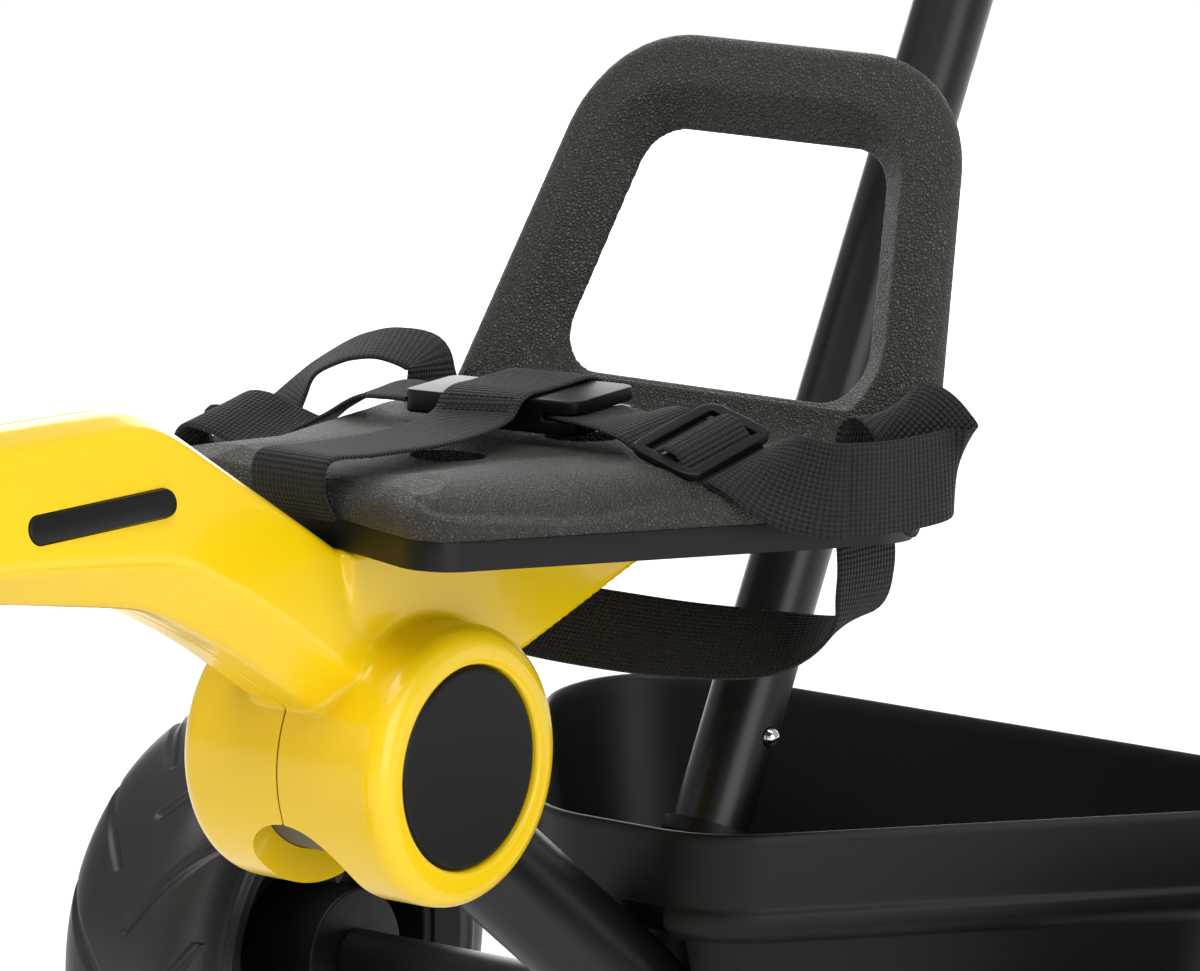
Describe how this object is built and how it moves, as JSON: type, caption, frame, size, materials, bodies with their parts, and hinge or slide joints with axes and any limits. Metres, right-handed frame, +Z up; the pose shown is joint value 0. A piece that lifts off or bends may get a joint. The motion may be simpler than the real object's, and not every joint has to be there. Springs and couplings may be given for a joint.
{
  "type": "toddler push along trike",
  "caption": "Folding push trike with a moulded body, harness seat with cut-out back, steered pedal front wheel, rear bucket and parent push pole.",
  "frame": {"origin": "on the ground, in the middle of the whole trike", "axes": "+X to the left of the seated child, -Y forward to the front wheel, +Z up"},
  "size_m": [0.592, 1.0748, 0.9708],
  "materials": {
    "yellow_shell": "moulded yellow plastic, glossy with a faint moulding haze",
    "yellow_plastic": "moulded yellow plastic, satin gloss",
    "black_gloss": "black moulded plastic, glossy",
    "black_plastic": "black moulded plastic, satin",
    "grained_seat": "black moulded plastic with a leather grain",
    "webbing": "black woven ribbed webbing",
    "black_steel": "black powder-coated steel tube, satin",
    "zinc_steel": "zinc plated steel",
    "bright_steel": "bright plated steel",
    "grey_bush": "dark grey nylon",
    "tyre": "dark grey moulded tyre, satin",
    "soft_grip": "black soft grip"
  },
  "bodies": {
    "main": {"shell_left": "yellow_shell", "shell_right": "yellow_shell", "trim_left": "black_gloss", "trim_right": "black_gloss", "shell_screws": "zinc_steel", "pivot_bolt": "zinc_steel", "head_tube": "black_steel", "bush_upper": "grey_bush", "bush_lower": "grey_bush", "seat_shell": "grained_seat", "seat_pan": "black_plastic", "seat_screws": "zinc_steel", "strap_lap_left": "webbing", "strap_lap_right": "webbing", "strap_crotch": "webbing", "strap_under": "webbing", "buckle_housing": "black_gloss", "buckle_tongue": "black_gloss", "triglide": "black_gloss"},
    "hub_button_left": {"hub_button_left": "black_plastic"},
    "hub_button_right": {"hub_button_right": "black_plastic"},
    "rear_frame": {"leg_tube": "black_steel", "leg_tail": "black_steel", "leg_plug": "black_plastic", "pivot_sleeve": "grey_bush", "axle_tube": "black_steel", "axle_rod": "zinc_steel", "axle_nuts": "zinc_steel", "bucket": "black_plastic", "bucket_screws": "zinc_steel", "pole_socket": "black_plastic", "pole_stub": "black_steel", "pole_tube": "black_steel", "handle_joint": "black_plastic", "handle_bar": "black_steel", "handle_grip_left": "soft_grip", "handle_grip_right": "soft_grip"},
    "pole_button": {"pole_button": "bright_steel"},
    "wheel_left": {"tyre_left": "tyre", "rim_left": "black_plastic", "wheel_cap_left": "yellow_plastic"},
    "wheel_right": {"tyre_right": "tyre", "rim_right": "black_plastic", "wheel_cap_right": "yellow_plastic"},
    "steering": {"fork": "black_steel", "mudguard": "yellow_plastic", "stem_clamp": "black_plastic", "handlebar": "black_steel", "bar_clamp": "black_plastic", "grip_left": "soft_grip", "grip_right": "soft_grip"},
    "front_wheel": {"tyre_front": "tyre", "rim_front": "yellow_plastic", "crank_axle": "zinc_steel", "crank_left": "zinc_steel", "crank_right": "zinc_steel"},
    "pedal_left": {"pedal_left": "black_plastic"},
    "pedal_right": {"pedal_right": "black_plastic"}
  },
  "joints": [
    {"name": "hub_press_left", "type": "slide", "parent": "main", "child": "hub_button_left", "axis": [-1, 0, 0], "range_m": [0, 0.004], "stiffness_N_per_m": 1500},
    {"name": "hub_press_right", "type": "slide", "parent": "main", "child": "hub_button_right", "axis": [1, 0, 0], "range_m": [0, 0.004], "stiffness_N_per_m": 1500},
    {"name": "rear_fold", "type": "hinge", "parent": "main", "child": "rear_frame", "pos_m": [0, -0.05199, 0.242], "axis": [-1, 0, 0], "range_deg": [0, 92]},
    {"name": "pole_press", "type": "slide", "parent": "rear_frame", "child": "pole_button", "axis": [-1, 0, 0], "range_m": [0, 0.004], "stiffness_N_per_m": 1500},
    {"name": "wheel_spin_left", "type": "hinge", "parent": "rear_frame", "child": "wheel_left", "pos_m": [0.245, 0.18101, 0.094], "axis": [1, 0, 0], "continuous": true},
    {"name": "wheel_spin_right", "type": "hinge", "parent": "rear_frame", "child": "wheel_right", "pos_m": [-0.245, 0.18101, 0.094], "axis": [1, 0, 0], "continuous": true},
    {"name": "steer", "type": "hinge", "parent": "main", "child": "steering", "pos_m": [0, -0.34199, 0.352], "axis": [0, 0.309, 0.9511], "range_deg": [-40, 40]},
    {"name": "front_spin", "type": "hinge", "parent": "steering", "child": "front_wheel", "pos_m": [0, -0.41737, 0.12], "axis": [1, 0, 0], "continuous": true},
    {"name": "pedal_spin_left", "type": "hinge", "parent": "front_wheel", "child": "pedal_left", "pos_m": [0.0985, -0.41737, 0.048], "axis": [1, 0, 0], "continuous": true},
    {"name": "pedal_spin_right", "type": "hinge", "parent": "front_wheel", "child": "pedal_right", "pos_m": [-0.0985, -0.41737, 0.192], "axis": [1, 0, 0], "continuous": true}
  ]
}
